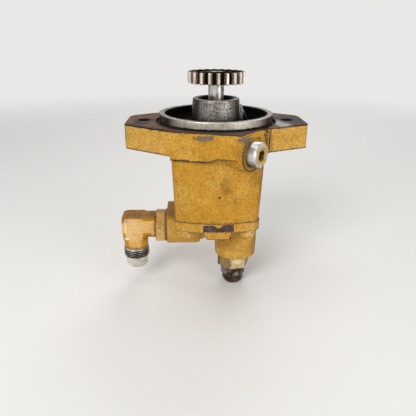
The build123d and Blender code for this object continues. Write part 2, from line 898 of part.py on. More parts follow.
def build_nodes():
    seal_low = nose_height - outer_seal_recess - seal_width
    return {
        "housing": housing(),
        "rear_cover": rear_cover(),
        "cover_seal": cover_seal_ring(cover_seal_width - 0.1, joint_z - cover_seal_depth, joint_z),
        "cover_bolts": cover_bolts(),
        "cover_washers": cover_washers(),
        "cover_dowels": cover_dowels(),
        "drive_shaft": drive_shaft(),
        "drive_gear": drive_gear(),
        "drive_gear_key": gear_key(drive_key_low()),
        "outer_shaft_seal": lip_seal(seal_low),
        "inner_shaft_seal": lip_seal(seal_low - seal_width),
        "front_drive_bushing": bushing(chamber_top, bushing_top, 0),
        "front_idler_bushing": bushing(chamber_top, bushing_top, idler_y),
        "rear_drive_bushing": bushing(shaft_bottom, joint_z, 0),
        "rear_idler_bushing": bushing(shaft_bottom, joint_z, idler_y),
        "driving_pump_gear": driving_pump_gear(),
        "pump_gear_key": gear_key(pump_key_low()),
        "driven_pump_gear": driven_pump_gear(),
        "idler_shaft": idler_shaft(),
        "inlet_elbow": inlet_elbow(),
        "inlet_locknut": inlet_locknut(),
        "inlet_backup_washer": inlet_backup_washer(),
        "inlet_oring": inlet_oring(),
        "outlet_adapter": outlet_adapter(),
        "outlet_oring": outlet_oring(),
        "relief_plug": relief_plug(),
        "relief_plug_oring": relief_plug_oring(),
        "relief_seat": relief_seat(),
        "relief_piston": relief_piston(),
        "relief_spring": relief_spring(),
    }


os.makedirs("parts", exist_ok=True)
for node_name, shape in build_nodes().items():
    export_step(shape, f"parts/{node_name}.step")
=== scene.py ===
# Gear type fuel transfer pump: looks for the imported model.
import math

import bmesh
import bpy
from mathutils import Matrix, Vector


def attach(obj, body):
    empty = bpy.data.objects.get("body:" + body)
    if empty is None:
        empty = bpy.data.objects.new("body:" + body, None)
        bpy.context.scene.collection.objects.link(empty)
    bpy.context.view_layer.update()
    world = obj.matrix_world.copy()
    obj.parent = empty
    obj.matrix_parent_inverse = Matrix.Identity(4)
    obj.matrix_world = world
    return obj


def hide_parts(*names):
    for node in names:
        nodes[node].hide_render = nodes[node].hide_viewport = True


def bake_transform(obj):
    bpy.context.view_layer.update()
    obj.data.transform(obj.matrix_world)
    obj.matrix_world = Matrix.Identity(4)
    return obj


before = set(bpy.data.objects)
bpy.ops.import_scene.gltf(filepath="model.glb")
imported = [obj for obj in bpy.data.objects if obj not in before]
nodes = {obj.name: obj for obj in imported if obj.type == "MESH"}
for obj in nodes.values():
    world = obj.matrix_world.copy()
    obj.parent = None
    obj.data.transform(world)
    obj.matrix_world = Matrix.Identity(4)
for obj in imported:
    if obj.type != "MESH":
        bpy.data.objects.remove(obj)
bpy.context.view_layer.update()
mm = 0.001
print("frame loaded:", len(nodes), "nodes")


# Colours are written as they look on screen and turned to linear light here.
def colour(code):
    parts = [int(code[i:i + 2], 16) / 255 for i in (0, 2, 4)]
    linear = [p / 12.92 if p <= 0.04045 else ((p + 0.055) / 1.055) ** 2.4 for p in parts]
    return (*linear, 1.0)


# Small helpers for node trees: a socket given as a value is linked, anything else is set.
def feed(tree, socket, value):
    if isinstance(value, bpy.types.NodeSocket):
        tree.links.new(value, socket)
    else:
        socket.default_value = value


def addNode(tree, kind, inputs, **settings):
    made = tree.nodes.new("ShaderNode" + kind)
    for key, value in settings.items():
        setattr(made, key, value)
    for key, value in inputs.items():
        feed(tree, made.inputs[key], value)
    return made


def calc(tree, operation, first, second=0.5, clamp=False):
    return addNode(tree, "Math", {0: first, 1: second}, operation=operation, use_clamp=clamp).outputs[0]


def times(tree, first, second):
    return calc(tree, "MULTIPLY", first, second)


def plus(tree, first, second):
    return calc(tree, "ADD", first, second)


def minus(tree, first, second):
    return calc(tree, "SUBTRACT", first, second)


def most(tree, first, second):
    return calc(tree, "MAXIMUM", first, second)


def absolute(tree, value):
    return calc(tree, "ABSOLUTE", value)


def lengthOf(tree, vector):
    return addNode(tree, "VectorMath", {0: vector}, operation="LENGTH").outputs["Value"]


def dot(tree, first, second):
    return addNode(tree, "VectorMath", {0: first, 1: second}, operation="DOT_PRODUCT").outputs["Value"]


def flatten(tree, first, second):
    return addNode(tree, "CombineXYZ", {0: first, 1: second}).outputs[0]


def between(tree, value, low, high, toLow=0.0, toHigh=1.0):
    sockets = {"Value": value, "From Min": low, "From Max": high, "To Min": toLow, "To Max": toHigh}
    return addNode(tree, "MapRange", sockets, interpolation_type="SMOOTHSTEP").outputs["Result"]


def blend(tree, factor, first, second, mode="MIX"):
    mixed = addNode(tree, "Mix", {0: factor, 6: first, 7: second}, data_type="RGBA", blend_type=mode)
    return mixed.outputs[2]


def grain(tree, vector, scale, detail=5.0, rough=0.6, twist=0.0):
    sockets = {"Vector": vector, "Scale": scale, "Detail": detail, "Roughness": rough, "Distortion": twist}
    return addNode(tree, "TexNoise", sockets).outputs["Fac"]


def cells(tree, vector, scale, feature="F1", random=1.0):
    sockets = {"Vector": vector, "Scale": scale, "Randomness": random}
    return addNode(tree, "TexVoronoi", sockets, feature=feature).outputs["Distance"]


def stretch(tree, vector, scale, location=(0, 0, 0), turn=(0, 0, 0)):
    sockets = {"Vector": vector, "Scale": scale, "Location": location, "Rotation": turn}
    return addNode(tree, "Mapping", sockets).outputs[0]


def makeGroup(name, inputs, outputs):
    group = bpy.data.node_groups.new(name, "ShaderNodeTree")
    for label, kind, value in inputs:
        socket = group.interface.new_socket(label, in_out="INPUT", socket_type="NodeSocket" + kind)
        if value is not None:
            socket.default_value = value
    for label, kind in outputs:
        group.interface.new_socket(label, in_out="OUTPUT", socket_type="NodeSocket" + kind)
    entry = group.nodes.new("NodeGroupInput")
    leave = group.nodes.new("NodeGroupOutput")
    return group, entry.outputs, leave.inputs


def useGroup(tree, group, inputs):
    made = tree.nodes.new("ShaderNodeGroup")
    made.node_tree = group
    for key, value in inputs.items():
        feed(tree, made.inputs[key], value)
    return made.outputs


# A patch is an ellipsoid with a ragged edge; positions and sizes in millimetres.
def patch(tree, place, centre, size, ragged, softness=0.35, raggedness=1.6):
    offset = stretch(tree, place, [1 / (s * mm) for s in size], [-c / s for c, s in zip(centre, size)])
    reach = lengthOf(tree, offset)
    edge = plus(tree, reach, times(tree, minus(tree, ragged, 0.5), raggedness))
    return between(tree, edge, 1 + softness, 1 - softness)


def patches(tree, place, spots, ragged, softness=0.2, raggedness=1.6):
    whole = 0.0
    for centre, size in spots:
        whole = most(tree, patch(tree, place, centre, size, ragged, softness, raggedness), whole)
    return whole


# Rounded normals for the sharp solids, a mask of their worn edges, and a mask of their occluded corners
# that darkens them as grime and painted shade.
def makeEdgeFinder():
    group, given, wanted = makeGroup(
        "edge finder",
        [("Radius", "Float", 1 * mm), ("Corner reach", "Float", 5 * mm)],
        [("Normal", "Vector"), ("Edge", "Float"), ("Corner", "Float")],
    )
    bevel = addNode(group, "Bevel", {"Radius": given["Radius"]}, samples=8)
    inner = addNode(group, "AmbientOcclusion", {"Distance": given["Radius"]}, samples=6, inside=True)
    outer = addNode(group, "AmbientOcclusion", {"Distance": given["Corner reach"]}, samples=6)
    feed(group, wanted["Normal"], bevel.outputs[0])
    feed(group, wanted["Edge"], between(group, inner.outputs["AO"], 0.98, 0.55))
    feed(group, wanted["Corner"], between(group, outer.outputs["AO"], 0.85, 0.25))
    return group


# Sand cast skin: lumps and fine grain with scattered pits.
def makeCastSkin():
    outputs = [("Height", "Float"), ("Specks", "Float")]
    group, given, wanted = makeGroup("cast skin", [("Vector", "Vector", None)], outputs)
    place = given["Vector"]
    fine = grain(group, place, 850, 4, 0.65)
    lumps = grain(group, place, 480, 2, 0.5)
    broad = grain(group, place, 90, 2, 0.5)
    pits = between(group, cells(group, place, 420), 0.08, 0.26)
    height = plus(group, times(group, fine, 0.35), times(group, lumps, 0.9))
    height = plus(group, height, times(group, broad, 0.9))
    height = plus(group, height, times(group, pits, 0.22))
    spots = between(group, grain(group, place, 820, 5, 0.72), 0.53, 0.62)
    clumps = between(group, grain(group, place, 45, 4, 0.6), 0.40, 0.62, 0.25, 1.0)
    feed(group, wanted["Height"], height)
    feed(group, wanted["Specks"], times(group, spots, clumps))
    return group


# Old industrial paint over iron: faded areas, brown specks, grime and painted shade in the corners, chips
# at the edges.
paintTones = {
    "cloud": colour("a87222"), "hollow": colour("7d5218"), "peel": colour("8a5c1c"),
    "speck": colour("5c3f18"), "stain": colour("5f3c12"), "grimeAndShade": colour("4f3416"),
    "rust": colour("3c2c22"),
}


def makeOldPaint():
    group, given, wanted = makeGroup(
        "old paint",
        [
            ("Vector", "Vector", None),
            ("Edge", "Float", 0.0),
            ("Corner", "Float", 0.0),
            ("Bare", "Float", 0.0),
            ("Stain and shade", "Float", 0.0),
            ("Paint", "Color", colour("d09a3a")),
            ("Faded paint", "Color", colour("ddb05e")),
            ("Bare metal", "Color", colour("5b4b46")),
            ("Chipping", "Float", 0.5),
            ("Age", "Float", 1.0),
        ],
        [("Color", "Color"), ("Roughness", "Float"), ("Metallic", "Float"), ("Height", "Float")],
    )
    place = given["Vector"]
    skin = useGroup(group, castSkin, {"Vector": place})
    broad = grain(group, place, 38, 4, 0.6)
    cloudy = between(group, grain(group, place, 120, 5, 0.7, 0.4), 0.36, 0.66)
    tone = blend(group, between(group, broad, 0.40, 0.64), given["Paint"], given["Faded paint"])
    age = given["Age"]
    tone = blend(group, times(group, times(group, cloudy, 0.28), age), tone, paintTones["cloud"])
    hollows = between(group, skin["Height"], 1.26, 1.04)
    tone = blend(group, times(group, times(group, hollows, 0.42), age), tone, paintTones["hollow"])
    peel = between(group, grain(group, place, 700, 2, 0.5), 0.54, 0.40)
    tone = blend(group, times(group, times(group, peel, 0.34), age), tone, paintTones["peel"])
    tone = blend(group, times(group, times(group, skin["Specks"], 0.6), age), tone, paintTones["speck"])
    # The stain input takes real stains and, from some pieces, painted shade on upward faces and in gaps.
    stain = times(group, given["Stain and shade"], between(group, cloudy, 0.0, 1.0, 0.55, 0.95))
    tone = blend(group, stain, tone, paintTones["stain"])
    # Painted shade together with grime: the occluded-corner mask darkens the paint.
    grimeAndShade = times(group, given["Corner"], between(group, broad, 0.35, 0.65, 0.15, 0.75))
    tone = blend(group, grimeAndShade, tone, paintTones["grimeAndShade"])
    ragged = grain(group, place, 230, 6, 0.72, 0.3)
    chipLevel = minus(group, 1.02, times(group, given["Chipping"], 0.62))
    chipping = plus(group, times(group, given["Edge"], 0.55), ragged)
    chips = between(group, chipping, chipLevel, plus(group, chipLevel, 0.03))
    bare = calc(group, "MAXIMUM", chips, given["Bare"], clamp=True)
    rusting = between(group, grain(group, place, 420, 4), 0.42, 0.62)
    rusty = blend(group, rusting, given["Bare metal"], paintTones["rust"])
    rough = between(group, broad, 0.3, 0.7, 0.42, 0.58)
    rough = plus(group, rough, times(group, skin["Specks"], 0.2))
    height = plus(group, skin["Height"], times(group, bare, -1.1))
    feed(group, wanted["Color"], blend(group, bare, tone, rusty))
    feed(group, wanted["Roughness"], rough)
    feed(group, wanted["Metallic"], times(group, bare, 0.35))
    feed(group, wanted["Height"], height)
    return group


# Oiled steel: brown film that gathers in the corners, and fine tool marks along one direction.
def makeOiledSteel():
    group, given, wanted = makeGroup(
        "oiled steel",
        [
            ("Vector", "Vector", None),
            ("Edge", "Float", 0.0),
            ("Corner", "Float", 0.0),
            ("Film", "Float", 0.0),
            ("Steel", "Color", colour("b9b6b0")),
            ("Oil", "Color", colour("4a3420")),
            ("Oil amount", "Float", 0.4),
            ("Marks", "Float", 0.5),
        ],
        [("Color", "Color"), ("Roughness", "Float"), ("Height", "Float")],
    )
    place = given["Vector"]
    cloud = grain(group, place, 110, 5, 0.65, 0.5)
    film = plus(group, times(group, given["Corner"], 0.8), cloud)
    film = plus(group, film, given["Film"])
    level = minus(group, 1.05, given["Oil amount"])
    film = between(group, film, minus(group, level, 0.28), plus(group, level, 0.18))
    bright = blend(group, times(group, given["Edge"], 0.6), given["Steel"], colour("efece6"))
    tone = blend(group, film, bright, given["Oil"])
    spots = between(group, grain(group, place, 420, 4, 0.7), 0.60, 0.70)
    tone = blend(group, times(group, spots, 0.65), tone, colour("3a2a1c"))
    rough = plus(group, between(group, cloud, 0.3, 0.7, 0.24, 0.42), times(group, spots, 0.2))
    rough = plus(group, rough, times(group, film, 0.12))
    lines = grain(group, stretch(group, place, (1, 1, 60)), 60, 3, 0.6)
    height = plus(group, times(group, lines, given["Marks"]), times(group, cloud, 0.3))
    feed(group, wanted["Color"], tone)
    feed(group, wanted["Roughness"], rough)
    feed(group, wanted["Height"], height)
    return group


edgeFinder = makeEdgeFinder()
castSkin = makeCastSkin()
oldPaint = makeOldPaint()
oiledSteel = makeOiledSteel()


def findEdges(tree, radius, reach):
    return useGroup(tree, edgeFinder, {"Radius": radius, "Corner reach": reach})


def newMaterial(name, specular=0.5):
    material = bpy.data.materials.new(name)
    material.use_nodes = True
    tree = material.node_tree
    shader = tree.nodes["Principled BSDF"]
    shader.inputs["Specular IOR Level"].default_value = specular
    place = tree.nodes.new("ShaderNodeTexCoord").outputs["Object"]
    return material, tree, shader, place


def axes(tree, vector):
    return addNode(tree, "SeparateXYZ", {0: vector}).outputs


# How far a surface faces along each axis, from its unbent normal.
def facingOf(tree):
    return axes(tree, tree.nodes.new("ShaderNodeTexCoord").outputs["Normal"])


def mixValue(tree, factor, first, second):
    return addNode(tree, "Mix", {0: factor, 2: first, 3: second}, data_type="FLOAT").outputs[0]


# The last steps that all finishes share: a bump over the rounded normal.
def finishSurface(tree, shader, tone, rough, height, normal, depth, metallic=None):
    sockets = {"Strength": 1.0, "Distance": depth * mm, "Height": height, "Normal": normal}
    bump = addNode(tree, "Bump", sockets)
    feed(tree, shader.inputs["Base Color"], tone)
    feed(tree, shader.inputs["Roughness"], rough)
    feed(tree, shader.inputs["Normal"], bump.outputs[0])
    if metallic is not None:
        feed(tree, shader.inputs["Metallic"], metallic)


def dress(material, *names):
    for name in names:
        mesh = nodes[name].data
        mesh.materials.clear()
        mesh.materials.append(material)


# Housing: painted casting with a bare machined mounting face, pilot ring and nose.
housing = {
    "paint": colour("c4912f"),
    "fadedPaint": colour("cfa248"),
    "earPaint": colour("d8ab55"),
    "faceOil": colour("4c2f1b"),
    "faceShadeAndOil": colour("15100c"),
    "faceFront": colour("3d332c"),
    "chipGrey": colour("80766f"),
    "faceGrey": colour("a29c95"),
    "ringSteel": colour("c3bbb0"),
    "ringSideShade": colour("1f150e"),
    "ringTop": colour("63564a"),
    "noseIron": colour("969089"),
    "noseDeepShade": colour("1c1511"),
    "rimHighlight": colour("9a958f"),
    "noseLump": colour("4a4542"),
    "noseSideShade": colour("2f2823"),
    "ringMark": colour("665c52"),
    "ringStain": colour("5a4a3d"),
    "faceRust": colour("684630"),
    "recessShade": colour("0b0807"),
    "ringInner": 42.68,
    "grooveOuter": 50.0,
    "noseTop": 18.3,
    "boreRadius": 15.9,
    "noseReach": 22.5,
    "boltAcross": 59.53,
    "holeRadius": 5.2,
    "bumpDepth": 0.42,
    "bareSpots": [((0.9, -49, -51.4), (1.1, 3, 0.9))],
    "wallChips": [
        ((18, -59, -3.4), (4.0, 3.4, 1.8)), ((20.5, -59, -5.2), (1.6, 3, 1.4)),
        ((-13, -52.5, -4.2), (4.2, 3, 1.5)), ((-8, -53, -3.4), (2.8, 3, 1.5)),
    ],
    "footChips": [((-30, -50, -21.4), (7, 4, 0.8)), ((-14, -52, -21.9), (5, 4, 0.8))],
    "edgeChips": [
        ((36.4, -40, -36), (1.5, 5, 32)), ((37, -24, -40), (1.2, 6, 30)),
        ((-73.4, -18, -10), (1.0, 3, 9)),
    ],
    "creviceShadows": [((39.9, -35.5, -10), (0.6, 5, 7.5)), ((38.5, -37, -2.6), (3.2, 3, 0.6))],
    "stains": [
        ((6, -49, -41), (4.5, 5, 7)), ((37, -34, -45), (5, 16, 36)), ((19, -57, -11), (8, 12, 8)),
        # Painted shade: a soft dark patch beside the crevice at the relief boss facet.
        ((40, -36, -12), (3, 6, 10)),
    ],
    "greySpots": [((53, -14, 0), (6, 17, 4))],
    "darkSpots": [((66, 2, 0), (13, 24, 3)), ((-62, -14, 0), (7, 6, 3)), ((50, 10, 0), (10, 8, 3))],
    "bandSlope": 0.678,
    "bandAt": 70.1,
    "jointTop": -70.4,
}


def makeHousingMaterial():
    p = housing
    material, tree, shader, place = newMaterial("housing casting", 0.12)
    x, y, z = axes(tree, place)
    nearJoint = between(tree, z, (p["jointTop"] + 3) * mm, p["jointTop"] * mm)
    edges = findEdges(tree, mixValue(tree, nearJoint, 1.8 * mm, 0.4 * mm), 6 * mm)
    # The occluded-corner mask, weaker near the cover joint, darkens the paint as grime and painted shade.
    corner = times(tree, edges["Corner"], mixValue(tree, nearJoint, 0.8, 0.15))
    facing = facingOf(tree)
    front = between(tree, absolute(tree, facing[1]), 0.55, 0.85)
    flat = flatten(tree, x, y)
    radius = lengthOf(tree, flat)
    ragged = grain(tree, place, 240, 6, 0.72)
    coarse = grain(tree, place, 130, 5, 0.7, 0.4)
    wobble = times(tree, minus(tree, ragged, 0.5), 2.4 * mm)

    inside = between(tree, radius, (p["grooveOuter"] + 0.2) * mm, (p["grooveOuter"] - 0.1) * mm)
    inside = times(tree, inside, between(tree, z, -5.2 * mm, -5.0 * mm))
    upward = times(tree, between(tree, facing[2], 0.5, 0.6), between(tree, z, -0.6 * mm, -0.4 * mm))
    holeLine = flatten(tree, minus(tree, absolute(tree, x), p["boltAcross"] * mm), y)
    holeReach = lengthOf(tree, holeLine)
    inHole = between(tree, holeReach, (p["holeRadius"] + 0.15) * mm, p["holeRadius"] * mm)
    topEdge = between(tree, plus(tree, z, wobble), -0.9 * mm, -0.5 * mm)
    machined = most(tree, most(tree, inside, upward), most(tree, inHole, topEdge))

    bare = patches(tree, place, p["bareSpots"], ragged)
    wallChips = patches(tree, place, p["wallChips"], grain(tree, place, 620, 6, 0.78), 0.12, 6.0)
    bare = most(tree, bare, wallChips)
    bare = most(tree, bare, patches(tree, place, p["footChips"], ragged, 0.12, 3.0))
    edgeChips = patches(tree, place, p["edgeChips"], grain(tree, place, 380, 6, 0.78), 0.15, 7.0)
    bare = most(tree, bare, edgeChips)
    stain = patches(tree, place, p["stains"], coarse, 0.6)
    onEar = times(tree, between(tree, absolute(tree, x), 34 * mm, 44 * mm), 0.75)
    onEar = times(tree, onEar, between(tree, z, -24 * mm, -20 * mm))
    paint = useGroup(tree, oldPaint, {
        "Vector": place, "Edge": edges["Edge"], "Corner": corner, "Bare": bare,
        "Stain and shade": times(tree, stain, 0.6), "Chipping": mixValue(tree, nearJoint, 0.5, 0.1),
        "Paint": blend(tree, onEar, p["paint"], p["earPaint"]),
        "Faded paint": blend(tree, onEar, p["fadedPaint"], p["earPaint"]),
    })

    painted = blend(tree, times(tree, wallChips, 0.7), paint["Color"], p["chipGrey"])
    # Painted shadow: near-black lines in the crevices beside the relief boss facet.
    creviceShadowMask = patches(tree, place, p["creviceShadows"], ragged, 0.3, 0.6)
    painted = blend(tree, times(tree, creviceShadowMask, 0.9), painted, p["faceShadeAndOil"])

    face = blend(tree, between(tree, coarse, 0.38, 0.64), p["faceOil"], p["faceRust"])
    face = blend(tree, between(tree, y, -38 * mm, -48 * mm, 0.0, 0.8), face, p["faceFront"])
    face = blend(tree, patches(tree, place, p["greySpots"], coarse, 0.4), face, p["faceGrey"])
    face = blend(tree, patches(tree, place, p["darkSpots"], coarse, 0.5), face, p["faceShadeAndOil"])
    band = times(tree, absolute(tree, x), -p["bandSlope"])
    band = plus(tree, plus(tree, y, band), plus(tree, wobble, p["bandAt"] * mm))
    band = between(tree, band, 7.5 * mm, 4.0 * mm)
    band = times(tree, band, between(tree, absolute(tree, x), 36 * mm, 42 * mm))
    aroundHole = plus(tree, holeReach, times(tree, wobble, 4.0))
    band = most(tree, band, between(tree, aroundHole, 12 * mm, 6.5 * mm, 0.0, 0.8))
    # Painted shade: occluded corners of the bare face go near black, as does a dark band along the front of
    # the ears.
    face = blend(tree, most(tree, times(tree, edges["Corner"], 0.8), band), face, p["faceShadeAndOil"])
    # Painted shade: the bolt hole bores are near black.
    face = blend(tree, inHole, face, p["recessShade"])

    onRing = times(tree, between(tree, z, 0.02 * mm, 0.2 * mm), inside)
    marks = grain(tree, stretch(tree, place, (1, 1, 30)), 90, 4, 0.7)
    dimples = between(tree, grain(tree, place, 420, 4, 0.7), 0.48, 0.60)
    dimples = most(tree, times(tree, dimples, 0.5), times(tree, between(tree, marks, 0.42, 0.66), 0.5))
    ring = blend(tree, dimples, p["ringSteel"], p["ringMark"])
    onTop = between(tree, facing[2], 0.5, 0.8)
    # Painted highlight: the front of the ring's top lip takes the bright steel colour, as do the brighter
    # tool marks on top.
    lipHighlight = times(tree, between(tree, radius, 45.4 * mm, 46.0 * mm), between(tree, y, -18 * mm, -34 * mm))
    topHighlightAndMarks = most(tree, lipHighlight, between(tree, marks, 0.56, 0.66, 0.0, 0.6))
    topTone = blend(tree, topHighlightAndMarks, p["ringTop"], p["ringSteel"])
    # Painted shade: ring faces turned away from the front take a near-black shade mixed with stains, and
    # metallic sheen stays on front and top faces.
    ringShade = most(tree, front, times(tree, onTop, 0.6))
    stained = between(tree, grain(tree, place, 300, 5, 0.7), 0.48, 0.66)
    ringSideShadeAndStain = blend(tree, stained, p["ringSideShade"], p["ringStain"])
    ring = blend(tree, front, ringSideShadeAndStain, ring)
    ring = blend(tree, onTop, ring, topTone)
    # The ring goes near black towards its foot.
    ring = blend(tree, between(tree, plus(tree, z, wobble), 1.7 * mm, 0.7 * mm), ring, p["faceShadeAndOil"])
    metal = blend(tree, onRing, face, ring)
    # Painted shade: the groove round the ring's foot is near black.
    groove = times(tree, between(tree, z, -0.05 * mm, -0.3 * mm), inside)
    metal = blend(tree, groove, metal, p["faceShadeAndOil"])
    # Painted shade: the pocket between the ring and the nose is near black.
    inCavity = between(tree, radius, p["ringInner"] * mm, (p["ringInner"] - 0.1) * mm)
    metal = blend(tree, inCavity, metal, p["recessShade"])

    onNose = between(tree, radius, (p["noseReach"] + 1) * mm, p["noseReach"] * mm)
    lumps = between(tree, grain(tree, place, 640, 3, 0.6), 0.42, 0.60)
    iron = blend(tree, times(tree, lumps, 0.75), p["noseIron"], p["noseLump"])
    # Painted shade: nose faces turned away from the front are darker.
    iron = blend(tree, front, blend(tree, times(tree, lumps, 0.7), p["noseSideShade"], p["noseDeepShade"]), iron)
    # Painted shade: the nose goes near black towards its foot, down in the pocket.
    iron = blend(tree, between(tree, z, 8 * mm, -2 * mm), iron, p["recessShade"])
    # Painted highlight on the front of the nose rim, painted shade on its back.
    rim = between(tree, z, (p["noseTop"] - 0.6) * mm, (p["noseTop"] - 0.2) * mm)
    rimShine = between(tree, plus(tree, y, times(tree, wobble, 2.0)), -4 * mm, -12 * mm)
    iron = blend(tree, rim, iron, blend(tree, rimShine, p["noseDeepShade"], p["rimHighlight"]))
    metal = blend(tree, onNose, metal, iron)
    # Painted shade: the shaft bore is near black.
    inBore = between(tree, radius, (p["boreRadius"] + 0.2) * mm, p["boreRadius"] * mm)
    metal = blend(tree, inBore, metal, p["recessShade"])

    smooth = most(tree, onRing, rim)
    shiny = times(tree, times(tree, smooth, ringShade), 0.75)
    skin = useGroup(tree, castSkin, {"Vector": place})
    calm = mixValue(tree, most(tree, smooth, times(tree, upward, 0.7)), 1.3, 0.22)
    metalHeight = times(tree, plus(tree, skin["Height"], times(tree, lumps, -0.5)), calm)
    height = mixValue(tree, machined, paint["Height"], metalHeight)
    rough = mixValue(tree, machined, paint["Roughness"], mixValue(tree, smooth, 0.6, 0.36))
    metallic = mixValue(tree, machined, paint["Metallic"], shiny)
    tone = blend(tree, machined, painted, metal)
    finishSurface(tree, shader, tone, rough, height, edges["Normal"], p["bumpDepth"], metallic)
    return material


# A long scrape across the front of the cover: flat along its foot, two lobes along its top.
def scrape(tree, place, p, ragged):
    x, y, z = axes(tree, place)
    wobble = times(tree, minus(tree, ragged, 0.5), 3.4 * mm)
    dip = times(tree, between(tree, x, (p["dip"] - 4) * mm, p["dip"] * mm), p["dipDepth"] * mm)
    rise = times(tree, between(tree, x, (p["dip"] + 1) * mm, (p["dip"] + 4) * mm), p["rise"] * mm)
    height = plus(tree, minus(tree, plus(tree, z, dip), rise), wobble)
    sideways = plus(tree, x, wobble)
    mask = between(tree, height, (p["top"] + 0.2) * mm, (p["top"] - 0.2) * mm)
    mask = times(tree, mask, between(tree, z, (p["foot"] - 0.15) * mm, (p["foot"] + 0.15) * mm))
    mask = times(tree, mask, between(tree, sideways, (p["left"] - 0.2) * mm, (p["left"] + 0.2) * mm))
    mask = times(tree, mask, between(tree, sideways, (p["right"] + 0.2) * mm, (p["right"] - 0.2) * mm))
    return times(tree, mask, between(tree, y, -40 * mm, -41 * mm))


# Painted pieces; the spots and stains of each are places in millimetres.
def makePaintedMaterial(name, values):
    material, tree, shader, place = newMaterial(name, 0.2)
    edges = findEdges(tree, values["edge"] * mm, 5 * mm)
    ragged = grain(tree, place, 240, 6, 0.72)
    coarse = grain(tree, place, 130, 5, 0.7, 0.4)
    facing = facingOf(tree)
    stain = patches(tree, place, values["stains"], coarse, 0.6)
    bare = patches(tree, place, values["bareSpots"], ragged)
    if "scrape" in values:
        bare = most(tree, bare, scrape(tree, place, values["scrape"], ragged))
    # Painted shade: upward faces darken through the stain input.
    shadeOnTop = times(tree, between(tree, facing[2], 0.4, 0.9), values["topShade"])
    paint = useGroup(tree, oldPaint, {
        "Vector": place, "Edge": edges["Edge"], "Corner": times(tree, edges["Corner"], values["grimeAndShade"]),
        "Bare": bare, "Stain and shade": most(tree, times(tree, stain, 0.8), shadeOnTop),
        "Paint": values["paint"], "Faded paint": values["fadedPaint"], "Chipping": values["chipping"],
    })
    finishSurface(
        tree, shader, paint["Color"], paint["Roughness"], paint["Height"],
        edges["Normal"], values["bumpDepth"], paint["Metallic"],
    )
    return material


# Fitting whose end is bare: paint stops at a ragged line below which threads and nose show metal.
def makeFittingMaterial(name, values):
    material, tree, shader, place = newMaterial(name, 0.12)
    edges = findEdges(tree, values["edge"] * mm, 4 * mm)
    ragged = grain(tree, place, 240, 6, 0.72)
    coarse = grain(tree, place, 130, 5, 0.7, 0.4)
    facing = facingOf(tree)
    z = axes(tree, place)[2]
    # Painted shade: upward faces darken through the stain input.
    shadeOnTop = times(tree, between(tree, facing[2], 0.4, 0.9), values["topShade"])
    # Painted light: faces turned to the front keep the lighter paint and all other faces get the darker
    # shaded paint.
    litFront = between(tree, facing[1], -0.80, -0.93)
    stain = times(tree, patches(tree, place, values["stains"], coarse, 0.6), 0.8)
    streaks = between(tree, grain(tree, stretch(tree, place, (1, 1, 0.12)), 190, 4, 0.65), 0.54, 0.60)
    stain = most(tree, stain, times(tree, streaks, values["streaks"]))
    paint = useGroup(tree, oldPaint, {
        "Vector": place, "Edge": edges["Edge"], "Corner": times(tree, edges["Corner"], 0.6),
        "Bare": 0.0, "Stain and shade": most(tree, stain, shadeOnTop),
        "Paint": blend(tree, litFront, values["shadedSidePaint"], values["paint"]),
        "Faded paint": blend(tree, litFront, values["shadedSidePaint"], values["fadedPaint"]),
        "Chipping": values["chipping"], "Age": 0.45,
    })
    steel = useGroup(tree, oiledSteel, {
        "Vector": place, "Edge": edges["Edge"], "Corner": edges["Corner"], "Steel": values["steel"],
        "Oil": values["oil"], "Oil amount": values["oilAmount"], "Marks": 0.3,
        "Film": between(tree, z, values["filmFrom"] * mm, values["filmTo"] * mm, 0.0, values["film"]),
    })
    wobble = times(tree, minus(tree, ragged, 0.5), values["wobble"] * mm)
    line = plus(tree, z, wobble)
    metal = between(tree, line, (values["paintEnd"] + 0.4) * mm, (values["paintEnd"] - 0.4) * mm)
    tone = blend(tree, metal, paint["Color"], steel["Color"])
    glints = patches(tree, place, values["glints"], grain(tree, place, 500, 6, 0.75), 0.15, 4.0)
    tone = blend(tree, times(tree, glints, 0.8), tone, values["glint"])
    finishSurface(
        tree, shader, tone,
        mixValue(tree, metal, paint["Roughness"], steel["Roughness"]),
        mixValue(tree, metal, paint["Height"], steel["Height"]),
        edges["Normal"], values["bumpDepth"],
        mixValue(tree, metal, paint["Metallic"], 0.85),
    )
    return material


def makeSteelMaterial(name, values):
    material, tree, shader, place = newMaterial(name)
    edges = findEdges(tree, values["edge"] * mm, values["reach"] * mm)
    facing = facingOf(tree)
    film = times(tree, between(tree, facing[2], 0.5, 0.9), values["topFilm"])
    streaks = between(tree, grain(tree, stretch(tree, place, (1, 1, 0.05)), 280, 4, 0.6), 0.46, 0.60)
    film = plus(tree, film, times(tree, streaks, values["streaks"]))
    steel = useGroup(tree, oiledSteel, {
        "Vector": place, "Edge": edges["Edge"], "Corner": edges["Corner"], "Steel": values["steel"],
        "Oil": values["oil"], "Oil amount": values["oilAmount"], "Marks": values["marks"], "Film": film,
    })
    tone = steel["Color"]
    if "rust" in values:
        spots = patches(tree, place, values["rust"], grain(tree, place, 300, 5, 0.7), 0.4)
        tone = blend(tree, times(tree, spots, 0.8), tone, colour("70421c"))
    shader.inputs["Metallic"].default_value = values["metallic"]
    rough, height = steel["Roughness"], steel["Height"]
    finishSurface(tree, shader, tone, rough, height, edges["Normal"], values["bumpDepth"])
    return material


# Drive gear: worn bright lands over oily brown flanks and black roots, with a dull top.
driveGear = {
    "land": colour("d6cfc4"),
    "flank": colour("79614f"),
    "flankWorn": colour("8d7563"),
    "root": colour("1a120d"),
    "top": colour("26211e"),
    "streak": colour("8d8882"),
    "landRadius": 22.7,
    "flankRadius": 21.9,
    "rootHigh": 21.2,
    "rootLow": 19.0,
    "bumpDepth": 0.05,
}


